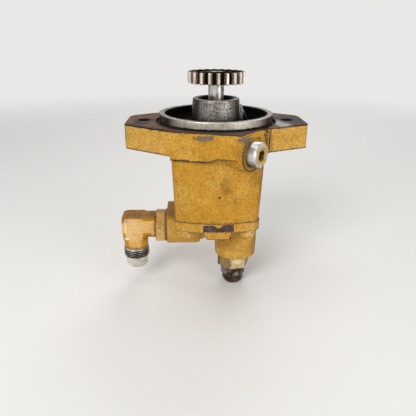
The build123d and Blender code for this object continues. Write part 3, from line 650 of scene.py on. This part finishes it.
def makeGearMaterial():
    p = driveGear
    material, tree, shader, place = newMaterial("drive gear steel", 0.0)
    edges = findEdges(tree, 0.5 * mm, 2.6 * mm)
    x, y = axes(tree, place)[:2]
    facing = facingOf(tree)
    flat = flatten(tree, x, y)
    radius = lengthOf(tree, flat)
    steel = useGroup(tree, oiledSteel, {
        "Vector": place, "Edge": edges["Edge"], "Corner": 0.0, "Steel": p["land"], "Oil": p["flank"],
        "Oil amount": 0.3, "Marks": 0.4, "Film": 0.0,
    })
    cloud = grain(tree, place, 160, 5, 0.65, 0.4)
    flankTone = blend(tree, between(tree, cloud, 0.46, 0.64), p["flank"], p["flankWorn"])
    onLand = between(tree, radius, p["flankRadius"] * mm, p["landRadius"] * mm)
    tone = blend(tree, onLand, flankTone, steel["Color"])
    inRoot = between(tree, radius, p["rootHigh"] * mm, p["rootLow"] * mm)
    tone = blend(tree, inRoot, tone, p["root"])
    streak = between(tree, grain(tree, stretch(tree, place, (0.3, 1, 1)), 120, 3, 0.6), 0.54, 0.62)
    topTone = blend(tree, times(tree, streak, 0.7), p["top"], p["streak"])
    onTop = between(tree, facing[2], 0.6, 0.9)
    tone = blend(tree, onTop, tone, topTone)
    metallic = times(tree, most(tree, onLand, 0.35), between(tree, onTop, 0.0, 1.0, 0.9, 0.0))
    rough, height = steel["Roughness"], steel["Height"]
    finishSurface(tree, shader, tone, rough, height, edges["Normal"], p["bumpDepth"], metallic)
    return material


# Plug of the relief valve: bright plating with old paint left round its socket.
plug = {
    "steel": colour("d6d4d0"),
    "oil": colour("6f6350"),
    "paint": colour("b58d3c"),
    "socket": colour("8f6c26"),
    "socketDirt": colour("3a2a14"),
    "streak": colour("8a857c"),
    "shade": colour("2d251c"),
    "outward": (0.766, -0.6428, 0),
    "sideways": (0.6428, 0.766, 0),
    "axisAcross": -24.6,
    "axisHeight": -15.5,
    "face": 60.6,
    "socketRadius": 4.66,
    "smearReach": 8.4,
}


def makePlugMaterial():
    p = plug
    material, tree, shader, place = newMaterial("relief plug")
    edges = findEdges(tree, 0.9 * mm, 3 * mm)
    along = dot(tree, place, p["outward"])
    across = dot(tree, place, p["sideways"])
    across = minus(tree, across, p["axisAcross"] * mm)
    height = minus(tree, axes(tree, place)[2], p["axisHeight"] * mm)
    flat = flatten(tree, across, height)
    radius = lengthOf(tree, flat)
    steel = useGroup(tree, oiledSteel, {
        "Vector": place, "Edge": edges["Edge"], "Corner": edges["Corner"], "Steel": p["steel"],
        "Oil": p["oil"], "Oil amount": 0.3, "Marks": 0.2, "Film": 0.0,
    })
    ragged = grain(tree, place, 260, 6, 0.7, 0.5)
    onFace = between(tree, along, (p["face"] - 0.5) * mm, (p["face"] - 0.2) * mm)
    nearSocket = between(tree, radius, p["smearReach"] * mm, p["socketRadius"] * mm, 0.0, 0.16)
    smears = between(tree, plus(tree, ragged, nearSocket), 0.545, 0.575)
    smears = times(tree, smears, onFace)
    inSocket = between(tree, radius, (p["socketRadius"] + 0.1) * mm, (p["socketRadius"] - 0.1) * mm)
    inSocket = times(tree, inSocket, between(tree, along, (p["face"] - 0.2) * mm, (p["face"] - 0.5) * mm))
    socketTone = blend(tree, between(tree, ragged, 0.42, 0.6), p["socket"], p["socketDirt"])
    streaks = between(tree, grain(tree, flat, 330, 3, 0.6), 0.51, 0.59)
    streaks = times(tree, streaks, mixValue(tree, onFace, 0.85, 0.2))
    tone = blend(tree, streaks, steel["Color"], p["streak"])
    under = times(tree, between(tree, height, -2 * mm, -8 * mm), minus(tree, 1.0, onFace))
    tone = blend(tree, times(tree, under, 0.75), tone, p["shade"])
    tone = blend(tree, smears, tone, p["paint"])
    tone = blend(tree, inSocket, tone, socketTone)
    painted = most(tree, smears, inSocket)
    finishSurface(
        tree, shader, tone, mixValue(tree, painted, steel["Roughness"], 0.55), steel["Height"],
        edges["Normal"], 0.05, mixValue(tree, painted, 0.9, 0.0),
    )
    return material


coverPaint = {
    "paint": colour("c4912f"), "fadedPaint": colour("d0a44c"), "chipping": 0.42, "edge": 0.8,
    "bumpDepth": 0.46, "topShade": 0.1, "grimeAndShade": 0.35,
    "scrape": {
        "left": -11.8, "right": 12.8, "foot": -81.1, "top": -75.4, "dip": 0.5, "dipDepth": 2.2, "rise": 2.9,
    },
    "bareSpots": [((-11.5, -48.5, -85), (1.8, 5, 2.2)), ((10.8, -48.5, -86), (1.6, 4, 1.2))],
    "stains": [
        # The second stain is painted shade on the top of the inlet boss, under the body.
        ((36, -30, -78), (5, 22, 8)), ((-38, -14, -74.5), (8, 26, 2.4)), ((37, -14, -100), (6, 16, 20)),
    ],
}
boltPaint = {
    "paint": colour("dcae52"), "fadedPaint": colour("e4bd70"), "chipping": 0.12, "edge": 0.4,
    "bumpDepth": 0.3, "topShade": 0.0, "grimeAndShade": 0.1, "bareSpots": [((30.5, -42, -88), (1.0, 3, 1.0))],
    "stains": [],
}
nutPaint = {
    "paint": colour("cd9c44"), "fadedPaint": colour("dab26c"), "chipping": 0.55, "edge": 0.6,
    "bumpDepth": 0.16, "topShade": 0.15, "grimeAndShade": 0.5,
    "bareSpots": [((-47.6, -23.5, -86.5), (0.9, 3, 1.0))],
    # The first stain is painted shadow in the gap between the nut and the elbow; the second darkens the
    # nut's face towards the boss.
    "stains": [((-52.2, -20, -80), (1.6, 12, 12)), ((-43.2, -20, -90), (1.2, 14, 16))],
}
elbowFinish = {
    "paint": colour("d4a457"), "fadedPaint": colour("dfb97e"), "shadedSidePaint": colour("c68f24"),
    "chipping": 0.42, "edge": 0.6, "bumpDepth": 0.12, "topShade": 0.85, "streaks": 0.0,
    "steel": colour("dedacf"), "oil": colour("3a2f25"), "oilAmount": 0.36, "filmFrom": -118.2,
    "filmTo": -117.2, "film": 0.16, "paintEnd": -108.9, "wobble": 5.0, "glint": colour("efe8da"),
    "glints": [((-77, -22.8, -98.8), (2.0, 3, 0.8)), ((-77.7, -22.6, -87), (0.35, 2, 6))],
    "stains": [
        ((-70, -20, -108.6), (12, 12, 1.5)), ((-60, -20, -99), (4, 5, 2.4)), ((-79, -21, -82), (3, 4, 2)),
        # Painted shadow in the gap between the elbow and its locknut.
        ((-52.6, -13, -90), (0.9, 16, 16)),
    ],
}
adapterFinish = {
    "paint": colour("bfac7a"), "fadedPaint": colour("d6c89d"), "shadedSidePaint": colour("98865a"),
    "chipping": 0.6, "edge": 0.6, "bumpDepth": 0.14, "topShade": 0.0, "streaks": 0.65,
    "steel": colour("8d7763"), "oil": colour("3f2d20"), "oilAmount": 0.48, "filmFrom": -128.0,
    "filmTo": -132.0, "film": 0.14, "paintEnd": -128.2, "wobble": 2.0, "glint": colour("ddd3b4"),
    "glints": [((20, -24.8, -121), (3.4, 3, 2.4))],
    "stains": [
        ((12.8, -24, -121), (1.7, 6, 9)), ((3.6, -16, -121), (1.4, 6, 9)),
        ((17, -24, -117), (16, 6, 1.5)),
    ],
}
gearSteel = {
    "steel": colour("a59d93"), "oil": colour("3d2f25"), "oilAmount": 0.5, "marks": 0.4, "topFilm": 0.3,
    "metallic": 0.8, "edge": 0.5, "reach": 2.6, "bumpDepth": 0.05, "streaks": 0.1,
}
shaftSteel = {
    "steel": colour("d0cecb"), "oil": colour("5e4a36"), "oilAmount": 0.26, "marks": 0.5, "topFilm": 0.3,
    "metallic": 0.95, "edge": 0.5, "reach": 3.0, "bumpDepth": 0.03, "streaks": 0.3,
    "rust": [((-3.4, -5.4, 18.6), (3.0, 3.0, 2.0)), ((-6.2, -1.5, 27), (1.5, 3.0, 9.0))],
}
bronze = {
    "steel": colour("b98c4f"), "oil": colour("4e3318"), "oilAmount": 0.3, "marks": 0.3, "topFilm": 0.1,
    "metallic": 0.9, "edge": 0.4, "reach": 3.0, "bumpDepth": 0.04, "streaks": 0.1,
}


def makeRubberMaterial():
    material, tree, shader, place = newMaterial("seal rubber", 0.3)
    fine = grain(tree, place, 700, 4, 0.6)
    tone = blend(tree, fine, colour("161514"), colour("2b2927"))
    bump = addNode(tree, "Bump", {"Strength": 1.0, "Distance": 0.03 * mm, "Height": fine})
    feed(tree, shader.inputs["Base Color"], tone)
    feed(tree, shader.inputs["Normal"], bump.outputs[0])
    shader.inputs["Roughness"].default_value = 0.6
    return material


dress(makeHousingMaterial(), "housing")
dress(makePaintedMaterial("cover paint", coverPaint), "rear_cover")
shaftMaterial = makeSteelMaterial("shaft steel", shaftSteel)
boltMaterial = makePaintedMaterial("bolt paint", boltPaint)
dress(boltMaterial, "cover_bolts", "cover_washers")
dress(makePaintedMaterial("nut paint", nutPaint), "inlet_locknut", "inlet_backup_washer")
elbowMaterial = makeFittingMaterial("elbow finish", elbowFinish)
adapterMaterial = makeFittingMaterial("adapter finish", adapterFinish)
dress(elbowMaterial, "inlet_elbow")
dress(adapterMaterial, "outlet_adapter")
dress(makeGearMaterial(), "drive_gear")
dress(makeSteelMaterial("gear steel", gearSteel), "drive_gear_key", "driving_pump_gear", "driven_pump_gear",
      "pump_gear_key", "relief_seat")
dress(shaftMaterial, "drive_shaft", "idler_shaft", "cover_dowels", "relief_piston",
      "relief_spring")
dress(makePlugMaterial(), "relief_plug")
dress(makeSteelMaterial("sintered bronze", bronze), "front_drive_bushing", "front_idler_bushing",
      "rear_drive_bushing", "rear_idler_bushing")
dress(makeRubberMaterial(), "cover_seal", "outer_shaft_seal", "inner_shaft_seal",
      "inlet_oring", "outlet_oring", "relief_plug_oring")
print("materials made")


# Modelling helpers: everything is drawn along Z in millimetres and then put in its place.
def addObject(name, data):
    made = bpy.data.objects.new(name, data)
    bpy.context.scene.collection.objects.link(made)
    return made


def pour(source, target):
    spare = bpy.data.meshes.new("spare")
    source.to_mesh(spare)
    source.free()
    target.from_mesh(spare)
    bpy.data.meshes.remove(spare)


def turnVerts(form, verts, angle, axis):
    bmesh.ops.rotate(form, cent=(0, 0, 0), matrix=Matrix.Rotation(angle, 3, axis), verts=verts)


def bevelEdges(form, edges, width, segments):
    return bmesh.ops.bevel(
        form, geom=edges, offset=width, segments=segments, affect="EDGES", profile=0.5, material=-1,
        offset_type="OFFSET",
    )


def addPost(form, segments, radius, depth, flare=0):
    return bmesh.ops.create_cone(
        form, cap_ends=True, segments=segments, radius1=radius - flare, radius2=radius + flare, depth=depth
    )["verts"]


def heightOf(edge):
    return abs(edge.verts[0].co.z - edge.verts[1].co.z)


def addTurned(form, points, segments=64):
    rim = [form.verts.new((radius, 0, height)) for radius, height in points]
    sides = [form.edges.new(pair) for pair in zip(rim, rim[1:])]
    bmesh.ops.spin(
        form, geom=rim + sides, cent=(0, 0, 0), axis=(0, 0, 1), angle=2 * math.pi,
        steps=segments, use_merge=True,
    )


def addThread(form, crest, root, low, high, pitch, steps=40):
    coil = bmesh.new()
    shares = [(0, root), (0.1, root), (0.42, crest), (0.56, crest), (0.9, root), (1, root)]
    rim = [coil.verts.new((radius, 0, low + (share - 1) * pitch)) for share, radius in shares]
    sides = [coil.edges.new(pair) for pair in zip(rim, rim[1:])]
    turns = math.ceil((high - low) / pitch) + 1
    bmesh.ops.spin(
        coil, geom=rim + sides, cent=(0, 0, 0), axis=(0, 0, 1), dvec=(0, 0, pitch / steps),
        angle=2 * math.pi * turns, steps=steps * turns,
    )
    bmesh.ops.remove_doubles(coil, verts=coil.verts, dist=0.001)
    for height, way in ((low, -1), (high, 1)):
        cut = coil.verts[:] + coil.edges[:] + coil.faces[:]
        side = {"plane_co": (0, 0, height), "plane_no": (0, 0, way)}
        bmesh.ops.bisect_plane(coil, geom=cut, clear_outer=True, **side)
    for vert in coil.verts:
        runOut = min(1, (vert.co.z - low) / pitch, (high - vert.co.z) / pitch)
        reach = math.hypot(vert.co.x, vert.co.y)
        share = (root + (reach - root) * max(0, runOut)) / reach
        vert.co.x *= share
        vert.co.y *= share
    pour(coil, form)


def addBar(form, size, centre, bevels):
    bar = bmesh.ops.create_cube(form, size=1)["verts"]
    bmesh.ops.scale(form, vec=size, verts=bar)
    bmesh.ops.translate(form, vec=centre, verts=bar)
    edges = {edge for vert in bar for edge in vert.link_edges}
    for chooses, width in bevels:
        picked = [edge for edge in edges if edge.is_valid and chooses(edge)]
        edges |= set(bevelEdges(form, picked, width, 1)["edges"])


def finishPiece(name, form, material, body, sharpAt=32, place=None):
    if place is not None:
        bmesh.ops.transform(form, matrix=place, verts=form.verts)
    bmesh.ops.scale(form, vec=(mm, mm, mm), verts=form.verts)
    bmesh.ops.recalc_face_normals(form, faces=form.faces)
    for face in form.faces:
        face.smooth = True
    for edge in form.edges:
        edge.smooth = edge.calc_face_angle(0) < math.radians(sharpAt)
    mesh = bpy.data.meshes.new(name)
    form.to_mesh(mesh)
    form.free()
    mesh.materials.append(material)
    piece = addObject(name, mesh)
    if body is not None:
        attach(piece, body)
    return piece


# Voxel remesh and smoothing give a forging its rounded edges; the result is baked into a bmesh.
def forged(form, voxel, rounds):
    mesh = bpy.data.meshes.new("blank")
    form.to_mesh(mesh)
    form.free()
    blank = addObject("blank", mesh)
    remesh = blank.modifiers.new("remesh", "REMESH")
    remesh.mode = "VOXEL"
    remesh.voxel_size = voxel
    soften = blank.modifiers.new("soften", "SMOOTH")
    soften.factor = 0.5
    soften.iterations = rounds
    shaped = bmesh.new()
    shaped.from_object(blank, bpy.context.evaluated_depsgraph_get())
    bpy.data.objects.remove(blank)
    bpy.data.meshes.remove(mesh)
    return shaped


# Ends of the fittings: thread, plain nose and 37 degree cone round the fuel passage.
flareEnd = {
    "crest": 11.06, "pitch": 1.814, "nose": 9.7, "tip": 7.3, "bore": 6.15, "coneLength": 3.185,
    "noseLength": 6.0,
}


def addFlareEnd(form, low, high, root):
    p = flareEnd
    coneLow = high - p["coneLength"]
    threadHigh = coneLow - p["noseLength"]
    addTurned(form, [
        (root, low - 0.2), (root, threadHigh), (p["nose"], threadHigh + 0.4),
        (p["nose"] - 0.1, coneLow - 0.3), (p["nose"] - 0.35, coneLow + 0.1),
        (p["tip"] + 0.35, high - 0.35), (p["tip"] - 0.1, high),
        (p["bore"] + 0.4, high), (p["bore"], high - 0.4), (p["bore"], low - 8), (0, low - 8),
    ])
    addThread(form, p["crest"], root, low, threadHigh, p["pitch"])


elbow = {
    "portFace": (-42.0, -12.7, -89.9), "section": 20.6, "legStart": -52.3, "dropX": -70.5,
    "outerX": -80.8, "dropFoot": -100.5, "sideBevel": 3.0, "overlap": 6, "stub": 10.9, "topBevel": 2.3,
    "underBevel": 7.0, "neck": 10.7, "threadStart": -109.2, "threadRoot": 10.05, "tipAt": -128.5,
    "voxel": 0.3, "softening": 1,
}


def makeInletElbow(material):
    p = elbow
    half = p["section"] / 2
    centreY, centreZ = p["portFace"][1], p["portFace"][2]
    top = centreZ + half
    form = bmesh.new()

    def along(axis, low=None):
        def chooses(edge):
            a, b = edge.verts[0].co, edge.verts[1].co
            others = [i for i in range(3) if i != axis]
            straight = all(abs(a[i] - b[i]) < 1e-4 for i in others)
            return straight and (low is None or (a.z < centreZ) == low)
        return chooses

    length = p["legStart"] - p["outerX"]
    addBar(
        form, (length, p["section"], p["section"]), ((p["legStart"] + p["outerX"]) / 2, centreY, centreZ),
        [(along(0, True), p["underBevel"]), (along(0, False), p["topBevel"])],
    )
    dropLength = top - p["dropFoot"]
    addBar(
        form, (p["section"], p["section"], dropLength), (p["dropX"], centreY, top - dropLength / 2),
        [(along(2), p["sideBevel"])],
    )
    neck = addPost(form, 48, p["neck"], p["dropFoot"] - p["threadStart"] + p["overlap"], 0.2)
    neckMiddle = (p["threadStart"] + p["dropFoot"] + p["overlap"]) / 2
    bmesh.ops.translate(form, vec=(p["dropX"], centreY, neckMiddle), verts=neck)
    stub = addPost(form, 48, p["stub"], 14)
    turnVerts(form, stub, math.pi / 2, "Y")
    bmesh.ops.translate(form, vec=(p["legStart"] + 3.3, centreY, centreZ), verts=stub)
    form = forged(form, p["voxel"], p["softening"])
    ends = bmesh.new()
    addFlareEnd(ends, 0, p["threadStart"] - p["tipAt"], p["threadRoot"])
    turn = Matrix.Translation((p["dropX"], centreY, p["threadStart"])) @ Matrix.Rotation(math.pi, 4, "X")
    bmesh.ops.transform(ends, matrix=turn, verts=ends.verts)
    pour(ends, form)
    piece = finishPiece("elbow_forging", form, material, "pump")
    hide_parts("inlet_elbow")


adapter = {
    "portFace": (16.8, -12.7, -116.2), "acrossFlats": 25.4, "hexLength": 12.3, "hexTurn": -18.7,
    "length": 29.8, "threadRoot": 10.8,
}


def makeOutletAdapter(material):
    p = adapter
    corner = p["acrossFlats"] / math.sqrt(3)
    form = bmesh.new()
    addPost(form, 6, corner, p["hexLength"])
    turnVerts(form, form.verts, math.radians(-p["hexTurn"]), "Z")
    bmesh.ops.translate(form, vec=(0, 0, p["hexLength"] / 2), verts=form.verts)
    bevelEdges(form, [edge for edge in form.edges if heightOf(edge) > 1], 0.35, 2)
    bevelEdges(form, [edge for edge in form.edges if heightOf(edge) < 0.01], 0.5, 2)
    addFlareEnd(form, p["hexLength"], p["length"], p["threadRoot"])
    place = Matrix.Translation(p["portFace"]) @ Matrix.Rotation(math.pi, 4, "X")
    piece = finishPiece("adapter_fitting", form, material, "pump", place=place)
    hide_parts("outlet_adapter")


# Cover bolts: each head stands at its own turn, chamfered on top, with a washer face below.
coverBolts = {
    "across": 25.4, "front": -38.4, "back": 16.5, "seat": -83.5, "headHeight": 4.4, "acrossFlats": 11.11,
    "shank": 3.1, "shankEnd": -59.9, "washerFace": 5.3, "turns": (28, 8, 41, 17),
}


def makeCoverBolts(material):
    p = coverBolts
    corner = p["acrossFlats"] / math.sqrt(3)
    places = [(x, y) for x in (-p["across"], p["across"]) for y in (p["front"], p["back"])]
    whole = bmesh.new()
    for (x, y), turn in zip(places, p["turns"]):
        form = bmesh.new()
        depth = p["headHeight"] - 0.3
        addPost(form, 6, corner, depth)
        bevelEdges(form, [edge for edge in form.edges if heightOf(edge) > 1], 0.25, 2)
        bevelEdges(form, [edge for edge in form.edges if max(v.co.z for v in edge.verts) < 0], 0.7, 3)
        turnVerts(form, form.verts, math.radians(turn), "Z")
        bmesh.ops.translate(form, vec=(x, y, p["seat"] - 0.3 - depth / 2), verts=form.verts)
        washerFace = (p["washerFace"], p["seat"] - 0.5, p["seat"])
        shank = (p["shank"], p["seat"] - 0.2, p["shankEnd"])
        for radius, low, high in (washerFace, shank):
            barrel = addPost(form, 32, radius, high - low)
            bmesh.ops.translate(form, vec=(x, y, (low + high) / 2), verts=barrel)
        pour(form, whole)
    piece = finishPiece("cover_bolt_heads", whole, material, "pump")
    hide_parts("cover_bolts")


# Relief spring: a coil of wire along the relief valve's axis, standing in place of the model's spring.
reliefSpring = {
    "origin": (24.79, -52.91, -15.5), "out": (0.766, -0.6428, 0), "side": (0.6428, 0.766, 0),
    "radius": 4.15, "wire": 0.55, "low": -24.4, "high": -12.6, "coils": 4.5, "steps": 28,
}


def makeReliefSpring(material):
    p = reliefSpring
    form = bmesh.new()
    ring = bmesh.ops.create_circle(form, segments=12, radius=p["wire"])["verts"]
    turnVerts(form, ring, math.pi / 2, "X")
    bmesh.ops.translate(form, vec=(p["radius"], 0, p["low"]), verts=ring)
    steps = round(p["coils"] * p["steps"])
    bmesh.ops.spin(
        form, geom=form.verts[:] + form.edges[:], cent=(0, 0, 0), axis=(0, 0, 1),
        dvec=(0, 0, (p["high"] - p["low"]) / steps), angle=2 * math.pi * p["coils"], steps=steps,
    )
    bmesh.ops.holes_fill(form, edges=form.edges)
    out, side, origin = Vector(p["out"]), Vector(p["side"]), Vector(p["origin"])
    turn = Matrix((side, (0, 0, 1), out)).transposed().to_4x4()
    place = Matrix.Translation(origin) @ turn
    piece = finishPiece("relief_coil", form, material, None, place=place)
    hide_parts("relief_spring")
    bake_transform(piece)


# Studio: pale floor that fades into the same pale world, soft lamps, and the camera.
studio = {
    "pale": colour("e9e8e6"),
    "floorHeight": -146.4,
    "fadeFrom": 0.5,
    "fadeTo": 1.4,
    "worldLight": 0.34,
}
cameraView = {"place": (-20.3, -356.5, 66.0), "pitch": 22.2, "yaw": 2.3, "roll": 0.385, "lens": 36.78}
lamps = {
    "key": {"place": (-0.5, -0.9, 0.6), "size": 0.6, "watts": 8.2},
    "fill": {"place": (0.7, -0.75, 0.2), "size": 0.7, "watts": 3.7},
    "back": {"place": (0.2, 0.9, 0.7), "size": 0.8, "watts": 4.0},
    "top": {"place": (-0.1, 0.0, 1.0), "size": 0.8, "watts": 3.0},
}


def makeFloor():
    mesh = bpy.data.meshes.new("floor")
    form = bmesh.new()
    bmesh.ops.create_circle(form, cap_ends=True, segments=64, radius=3.0)
    bmesh.ops.translate(form, verts=form.verts, vec=(0, 0, studio["floorHeight"] * mm))
    form.to_mesh(mesh)
    form.free()
    floor = addObject("floor", mesh)
    material, tree, shader, place = newMaterial("pale floor")
    shader.inputs["Base Color"].default_value = studio["pale"]
    shader.inputs["Roughness"].default_value = 0.9
    far = addNode(tree, "Emission", {"Color": studio["pale"], "Strength": 1.0})
    distance = lengthOf(tree, place)
    fade = between(tree, distance, studio["fadeFrom"], studio["fadeTo"])
    ways = tree.nodes.new("ShaderNodeLightPath").outputs
    seen = most(tree, ways["Is Camera Ray"], ways["Is Glossy Ray"])
    fade = times(tree, fade, seen)
    mixed = addNode(tree, "MixShader", {0: fade, 1: shader.outputs[0], 2: far.outputs[0]})
    feed(tree, tree.nodes["Material Output"].inputs["Surface"], mixed.outputs[0])
    mesh.materials.append(material)


def makeWorld():
    world = bpy.data.worlds.new("studio")
    bpy.context.scene.world = world
    world.use_nodes = True
    tree = world.node_tree
    ways = tree.nodes.new("ShaderNodeLightPath").outputs
    seen = most(tree, ways["Is Camera Ray"], ways["Is Glossy Ray"])
    seen = most(tree, seen, ways["Is Transmission Ray"])
    strength = between(tree, seen, 0.0, 1.0, studio["worldLight"], 1.0)
    shade = tree.nodes["Background"]
    shade.inputs["Color"].default_value = studio["pale"]
    feed(tree, shade.inputs["Strength"], strength)


def makeLamps():
    for name, values in lamps.items():
        data = bpy.data.lights.new(name, "AREA")
        data.shape = "DISK"
        data.size = values["size"]
        data.energy = values["watts"]
        lamp = addObject(name, data)
        lamp.location = values["place"]
        aim = Vector((0, 0, -0.05)) - Vector(values["place"])
        lamp.rotation_euler = aim.to_track_quat("-Z", "Y").to_euler()


def makeCamera():
    p = cameraView
    data = bpy.data.cameras.new("camera")
    data.sensor_width = 36
    data.lens = p["lens"]
    data.clip_start = 0.01
    camera = addObject("camera", data)
    turn = Matrix.Rotation(-math.radians(p["yaw"]), 4, "Z")
    tilt = Matrix.Rotation(math.radians(90 - p["pitch"]), 4, "X")
    roll = Matrix.Rotation(math.radians(p["roll"]), 4, "Z")
    camera.matrix_world = Matrix.Translation(Vector(p["place"]) * mm) @ turn @ tilt @ roll
    bpy.context.scene.camera = camera


makeInletElbow(elbowMaterial)
makeOutletAdapter(adapterMaterial)
print("fittings modelled")
makeCoverBolts(boltMaterial)
makeReliefSpring(shaftMaterial)
print("bolts and spring modelled")
makeFloor()
makeWorld()
makeLamps()
makeCamera()
bpy.context.scene.view_settings.view_transform = "Standard"
print("studio ready")
